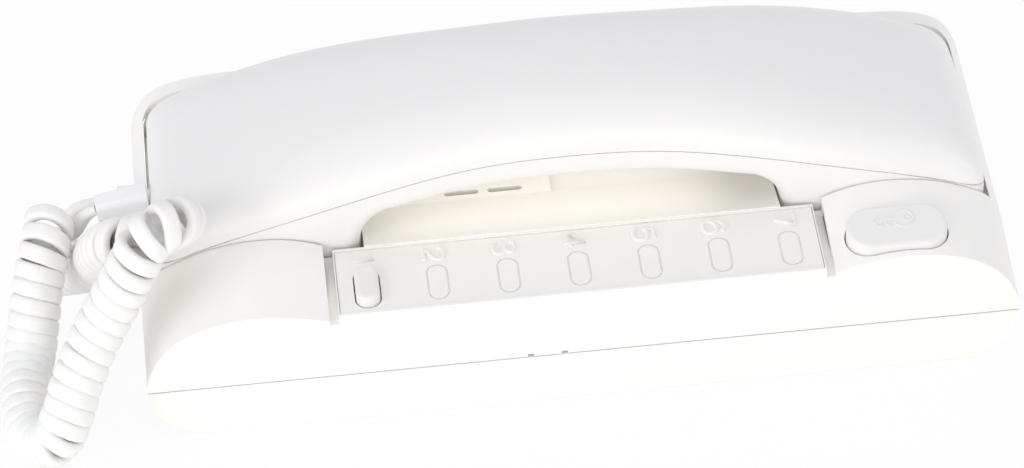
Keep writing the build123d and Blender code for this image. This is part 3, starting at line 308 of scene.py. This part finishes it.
def make_inner_materials():
    made = {}
    # Acetal: creamy and slippery
    made["acetal"] = grained("moulded_acetal", "#F6F3EA", "#F2EEE4", 0.35, 0.04, 1.5, 0.01, IOR=1.48)
    # Drawn spring wire: a bright metal
    made["spring"] = grained("drawn_spring_steel", "#C9C9CB", "#B9BABD", 0.28, 0.06, 0.5, 0.01,
                             cloud=3.0, Metallic=1.0)
    # Zinc on steel: a bright metal with a bluish bloom
    made["screw"] = grained("zinc_plated_steel", "#C6C8CA", "#B4B8BD", 0.34, 0.08, 0.6, 0.02,
                            cloud=2.0, Metallic=1.0)
    # Glass laminate under a solder mask: deep green and half glossy
    made["board"] = grained("solder_masked_laminate", "#1F5A31", "#1A4B2A", 0.4, 0.06, 1.0, 0.03,
                            cloud=6.0, IOR=1.5)
    # Filled nylon: black and dull
    made["black"] = grained("moulded_black_nylon", "#1A1A1C", "#141416", 0.5, 0.06, 0.8, 0.03, IOR=1.5)
    # Polyamide: green and dull
    made["terminal"] = grained("moulded_green_polyamide", "#2E6B42", "#275C39", 0.48, 0.05, 0.9, 0.03,
                               IOR=1.5)
    # PVC film shrunk on a can: dark blue and glossy
    made["sleeve"] = grained("shrunk_pvc_sleeve", "#1B1E30", "#161828", 0.3, 0.05, 1.4, 0.01, IOR=1.5)
    # Pressed steel under paint: near black, with a soft sheen
    made["pressed"] = grained("painted_pressed_steel", "#2C2C2E", "#242427", 0.45, 0.06, 0.8, 0.02)
    # Treated paper: dark, fibrous and without gloss
    made["paper"] = grained("treated_paper_cone", "#241E18", "#1B1611", 0.85, 0.08, 0.7, 0.12,
                            cloud=4.0)
    # Ferrite, sintered: dark grey and stony
    made["ferrite"] = grained("sintered_ferrite", "#2B2C2E", "#222325", 0.7, 0.08, 0.5, 0.06)
    # Aluminium, deep drawn: a pale metal with a soft shine
    made["can"] = grained("drawn_aluminium_can", "#D2D3D5", "#C6C7CA", 0.3, 0.06, 0.7, 0.01,
                          cloud=3.0, Metallic=1.0)
    # Foam, cut: dark, with open pores
    made["foam"] = grained("cut_foam", "#2A2A2A", "#202020", 0.95, 0.04, 0.6, 0.3, cloud=2.0)
    return made


FINISHES = {
    "casing": ["front_housing", "back_cover"],
    "handset": ["handset_outer_shell", "handset_inner_shell"],
    "strip": ["call_strip"],
    "key": ["call_key", "door_key"],
    "boot": ["cord_boot", "base_cord_bush"],
    "cord": ["curly_cord", "handset_lead", "base_lead"],
    "acetal": ["hook_plunger"],
    "spring": ["call_key_spring", "door_key_spring", "hook_spring"],
    "screw": ["terminal_screws", "casing_screws", "board_screws", "handset_screws"],
    "board": ["circuit_board"],
    "black": ["call_switch", "door_switch", "hook_switch", "tone_chip", "earpiece_receiver"],
    "terminal": ["terminal_block"],
    "sleeve": ["capacitors"],
    "pressed": ["speaker_frame"],
    "paper": ["speaker_cone"],
    "ferrite": ["speaker_magnet"],
    "can": ["microphone_capsule"],
    "foam": ["receiver_ring", "microphone_boot"],
}


def dress_nodes(materials):
    for finish, names in FINISHES.items():
        for name in names:
            slots = NODES[name].data.materials
            slots.clear()
            slots.append(materials[finish])


# Springs

def make_key_springs():
    # The springs under the keys stand on the board; each is a copy of its part, fixed to the base
    for name, joint, travel in KEY_SPRINGS:
        node = NODES[name]
        mesh = node.data.copy()
        mesh.transform(node.matrix_world)
        spring = placed(name + "_wire", mesh)
        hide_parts(name)
        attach(spring, "base")
        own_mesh(spring)


# Curly cord

def bends_of(ways, window):
    # How sharply the route turns at each of its points, in radians per millimetre
    last = len(ways) - 1
    bends = []
    for k in range(len(ways)):
        low, high = max(k - window, 0), min(k + window, last)
        bends.append(ways[low].angle(ways[high], 0.0) / ((high - low) * ROUTE_STEP))
    return bends


def coil_helix():
    # A helix round the route, opened on its bends, with a set number of points in each turn
    chosen = [(x + BASE_LEFT, y, z) for x, y, z in COIL_ROUTE]
    route = evenly(nurbs_line(chosen, ROUTE_FINENESS), ROUTE_STEP)
    ways = [(b - a).normalized() for a, b in zip(route, route[1:])]
    ways.append(ways[-1])
    window, last = int(COIL_RADIUS / ROUTE_STEP), len(route) - 1
    bends = bends_of(ways, window)
    side = Vector((0, -ways[0].z, ways[0].y)).normalized()
    turned, helix, phases = 0.0, [], []
    for k, (centre, way) in enumerate(zip(route, ways)):
        side = (side - way * side.dot(way)).normalized()
        other = way.cross(side)
        helix.append(centre + (side * math.cos(turned) - other * math.sin(turned)) * COIL_RADIUS)
        phases.append(turned)
        bend = max(bends[max(k - window, 0):min(k + window, last) + 1])
        share = HIGH_BEND_SHARE if centre.z > CREST_FROM else LOW_BEND_SHARE
        pitch = COIL_PITCH * (1 + min(COIL_RADIUS * bend, 1) * share)
        turned += 2 * math.pi * ROUTE_STEP / pitch
    running = [(helix[min(k + 1, last)] - helix[max(k - 1, 0)]).normalized()
               for k in range(last + 1)]
    # The coil ends where its last turn runs towards the bush
    final = [k for k in range(last + 1) if phases[k] > phases[-1] - 2 * math.pi]
    end = max(final, key=lambda k: running[k].dot(COIL_END_WAY))
    count = round((phases[end] - phases[0]) / (2 * math.pi) * TURN_POINTS)
    coil, k = [], 0
    for n in range(count + 1):
        want = phases[0] + (phases[end] - phases[0]) * n / count
        while k < end and phases[k] < want:
            k += 1
        coil.append(helix[k])
    return coil, running[0], running[end], route


def flat_cord_group():
    # A rounded flat section that follows a line, broad side square to the line's "outward" vectors
    group = bpy.data.node_groups.new("flat_cord", "GeometryNodeTree")
    for name, kind in (("Line", "NodeSocketGeometry"), ("Width", "NodeSocketFloat"),
                       ("Thickness", "NodeSocketFloat"), ("Edge Radius", "NodeSocketFloat"),
                       ("Finish", "NodeSocketMaterial")):
        group.interface.new_socket(name, in_out="INPUT", socket_type=kind)
    group.interface.new_socket("Cord", in_out="OUTPUT", socket_type="NodeSocketGeometry")
    given = add(group, "NodeGroupInput").outputs
    run = add(group, "GeometryNodeMeshToCurve", None, {"Mesh": given["Line"]})
    facing = add(group, "GeometryNodeInputNamedAttribute", {"Name": "outward"},
                 data_type="FLOAT_VECTOR")
    faced = add(group, "GeometryNodeSetCurveNormal", None,
                {"Curve": run.outputs["Curve"], "Normal": facing.outputs["Attribute"]}, mode="FREE")
    section = add(group, "GeometryNodeCurvePrimitiveQuadrilateral", None,
                  {"Width": given["Thickness"], "Height": given["Width"]})
    rounded = add(group, "GeometryNodeFilletCurve", {"Count": 4},
                  {"Curve": section.outputs["Curve"], "Radius": given["Edge Radius"]}, mode="POLY")
    swept = add(group, "GeometryNodeCurveToMesh", {"Fill Caps": True},
                {"Curve": faced.outputs["Curve"], "Profile Curve": rounded.outputs["Curve"]})
    solid = add(group, "GeometryNodeRealizeInstances", None, {"Geometry": swept.outputs["Mesh"]})
    dressed = add(group, "GeometryNodeSetMaterial", None,
                  {"Geometry": solid.outputs["Geometry"], "Material": given["Finish"]})
    add(group, "NodeGroupOutput", None, {"Cord": dressed.outputs["Geometry"]})
    return group


def flat_strand(line, outward, material):
    mesh = bpy.data.meshes.new("strand")
    mesh.from_pydata([tuple(p * MM) for p in line], [(k, k + 1) for k in range(len(line) - 1)], [])
    facing = mesh.attributes.new("outward", "FLOAT_VECTOR", "POINT")
    facing.data.foreach_set("vector", [value for out in outward for value in out])
    holder = placed("strand", mesh)
    group = flat_cord_group()
    nodes = holder.modifiers.new("flat_cord", "NODES")
    nodes.node_group = group
    given = {"Width": CORD_WIDTH * MM, "Thickness": CORD_THICKNESS * MM,
             "Edge Radius": CORD_ROUND * MM, "Finish": material}
    for item in group.interface.items_tree:
        if item.name in given:
            nodes[item.identifier] = given[item.name]
    swept = final_mesh(holder)
    work = bmesh.new()
    work.from_mesh(swept)
    bmesh.ops.remove_doubles(work, verts=work.verts, dist=0.0005 * MM)
    bmesh.ops.recalc_face_normals(work, faces=work.faces)
    work.to_mesh(swept)
    work.free()
    swept.name = "curly_cord_strand"
    swept.shade_smooth()
    swept.set_sharp_from_angle(angle=math.radians(60))
    return placed("curly_cord_strand", swept)


def strand_facing(line, coil, route):
    # The flat side of the cord faces out of the coil; along the leads it turns no more than it must
    places = np.array([tuple(p) for p in line])
    middles = np.array([tuple(p) for p in route])
    coil_low = min(range(len(line)), key=lambda k: (line[k] - coil[0]).length)
    coil_high = min(range(len(line)), key=lambda k: (line[k] - coil[-1]).length)
    last = len(line) - 1
    ways = [(line[min(k + 1, last)] - line[max(k - 1, 0)]).normalized() for k in range(last + 1)]
    outward = [None] * len(line)
    for k in range(coil_low, coil_high + 1):
        near = int(np.argmin(((middles - places[k]) ** 2).sum(axis=1)))
        out = line[k] - route[near]
        outward[k] = (out - ways[k] * out.dot(ways[k])).normalized()
    # Along each lead the cord twists a quarter turn, so that its narrow side faces the front
    for k in list(range(coil_low)) + list(range(coil_high + 1, len(line))):
        if k < coil_low:
            share, nearest = (coil_low - k) / coil_low, outward[coil_low]
        else:
            share, nearest = (k - coil_high) / (last - coil_high), outward[coil_high]
        share = min(share * LEAD_TWIST, 1)
        way = nearest.lerp(LEAD_FACING, share * share * (3 - 2 * share))
        outward[k] = (way - ways[k] * way.dot(ways[k])).normalized()
    return outward


def make_cord(material):
    coil, first_way, last_way, route = coil_helix()
    start = coil[0] - first_way * END_RUN
    finish = coil[-1] + last_way * END_RUN
    lead_in = [BOOT_TIP, BOOT_TIP + BOOT_WAY * BOOT_RUN, start - first_way * COIL_EASE, start]
    lead_out = [finish, finish + last_way * END_EASE, BUSH_TIP + BUSH_BEND, BUSH_TIP + BUSH_RUN,
                BUSH_TIP]
    line = nurbs_line(lead_in + coil + lead_out, STRAND_FINENESS)
    cord = flat_strand(line, strand_facing(line, coil, route), material)
    length = sum((b - a).length for a, b in zip(line, line[1:])) * MM
    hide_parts("curly_cord", "handset_lead", "base_lead")
    return cord, length


# Digits and key mark

def deck_height(y):
    return DECK_LOW + DECK_RISE / DECK_DEPTH * (y - DECK_FRONT) - STRIP_DROP


def key_top(y):
    return HILL_LOW + HILL_RISE / DECK_DEPTH * (y - DECK_FRONT) + DOOR_KEY_RISE


def raised_line(name, runs, radius, height_at, material):
    # Rounded ridges along flat outlines, half sunk in the face that they stand on
    curve = bpy.data.curves.new(name, "CURVE")
    curve.dimensions = "3D"
    curve.bevel_depth = radius * MM
    curve.bevel_resolution = 3
    curve.resolution_u = 6
    curve.use_fill_caps = True
    for points, closed in runs:
        spline = curve.splines.new("POLY")
        spline.points.add(len(points) - 1)
        for place, (x, y) in zip(spline.points, points):
            place.co = (x * MM, y * MM, height_at(y) * MM, 1.0)
        spline.use_cyclic_u = closed
    mesh = final_mesh(placed(name, curve))
    bpy.data.curves.remove(curve)
    mesh.materials.clear()
    mesh.materials.append(material)
    mesh.shade_smooth()
    return placed(name, mesh)


def make_digits(material):
    # The digits stand upright on the wall, feet towards -X and left sides towards +Y
    runs = []
    for place in range(PLACE_COUNT):
        x = (place - (PLACE_COUNT - 1) / 2) * PLACE_PITCH + DIGIT_SHIFT
        for points, rounded in STROKES[str(place + 1)]:
            stroke = [(x + (v - 0.5) * DIGIT_TALL, DIGIT_Y - (u - 0.5) * DIGIT_WIDE) for u, v in points]
            if rounded:
                stroke = [(p.x, p.y) for p in nurbs_line([(a, b, 0) for a, b in stroke], 6)]
            runs.append((stroke, False))
    digits = raised_line("call_digits", runs, DIGIT_RIDGE, lambda y: deck_height(y) + DIGIT_LIFT,
                         material)
    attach(digits, "base")


def make_key_symbol(material):
    # The outline of a key, with an opening in its bow where the shaft joins it
    opening = math.asin(SHAFT_HALF / BOW_RADIUS)
    around = [opening + (2 * math.pi - 2 * opening) * n / BOW_STEPS for n in range(BOW_STEPS + 1)]
    bow = [(BOW_X - BOW_RADIUS * math.cos(a), MARK_Y - BOW_RADIUS * math.sin(a)) for a in around]
    shaft = [(x, MARK_Y + off) for x, off in SHAFT]
    full = [2 * math.pi * n / EYE_STEPS for n in range(EYE_STEPS)]
    eye = [(BOW_X + EYE_SHIFT + EYE_RADIUS * math.cos(a), MARK_Y + EYE_RADIUS * math.sin(a))
           for a in full]
    symbol = raised_line("key_symbol", [(bow + shaft, True), (eye, True)], MARK_RIDGE,
                         lambda y: key_top(y) + MARK_LIFT, material)
    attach(symbol, "door_key")


# Table, surroundings and lights

def make_table():
    # A white laminate table, so evenly lit that it fades into the white behind it
    made, tree = blank("white_laminate_table")
    where = add(tree, "ShaderNodeTexCoord").outputs["Object"]
    board = add(tree, "ShaderNodeBsdfDiffuse", None,
                {"Color": drifting(tree, where, 3.0, "#FFFFFF", "#FDFDFD")})
    shine = add(tree, "ShaderNodeEmission", {"Color": colour("#FFFFFF"), "Strength": 1.0})
    path = add(tree, "ShaderNodeLightPath").outputs
    seen = add(tree, "ShaderNodeMath", None, {0: path["Is Camera Ray"], 1: path["Is Glossy Ray"]},
               operation="MAXIMUM")
    share = add(tree, "ShaderNodeMath", {1: TABLE_GLOW}, {0: seen.outputs[0]}, operation="MULTIPLY")
    mix = add(tree, "ShaderNodeMixShader", None,
              {"Fac": share.outputs[0], 1: board.outputs[0], 2: shine.outputs[0]})
    add(tree, "ShaderNodeOutputMaterial", None, {"Surface": mix.outputs[0]})
    half, low = TABLE_HALF, -TABLE_DROP
    mesh = bpy.data.meshes.new("table")
    mesh.from_pydata([(-half, -half, low), (half, -half, low), (half, half, low), (-half, half, low)],
                     [], [(0, 1, 2, 3)])
    mesh.materials.append(made)
    placed("table", mesh)


def make_world():
    world = bpy.data.worlds.new("studio")
    bpy.context.scene.world = world
    world.use_nodes = True
    tree = world.node_tree
    tree.nodes.clear()
    soft = add(tree, "ShaderNodeBackground", {"Color": colour("#F8F8FE"), "Strength": 0.72})
    white = add(tree, "ShaderNodeBackground", {"Color": colour("#FFFFFF"), "Strength": 1.0})
    path = add(tree, "ShaderNodeLightPath")
    mix = add(tree, "ShaderNodeMixShader", None,
              {"Fac": path.outputs["Is Camera Ray"], 1: soft.outputs[0], 2: white.outputs[0]})
    add(tree, "ShaderNodeOutputWorld", None, {"Surface": mix.outputs[0]})


def make_lights():
    for name, (place, target, size, power, tint) in LAMPS.items():
        light = bpy.data.lights.new(name, "AREA")
        light.shape = "RECTANGLE"
        light.size, light.size_y = size
        light.energy = power
        light.color = colour(tint)[:3]
        lamp = placed(name, light)
        lamp.location = place
        lamp.rotation_euler = (Vector(target) - Vector(place)).to_track_quat("-Z", "Y").to_euler()
        lamp.visible_camera = False


set_camera()
materials = {**make_outer_materials(), **make_inner_materials()}
cord, cord_length = make_cord(materials["cord"])
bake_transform(cord)
dress_nodes(materials)
make_key_springs()
make_digits(materials["strip"])
make_key_symbol(materials["key"])
make_table()
make_world()
make_lights()
bpy.context.scene.view_settings.view_transform = "Standard"
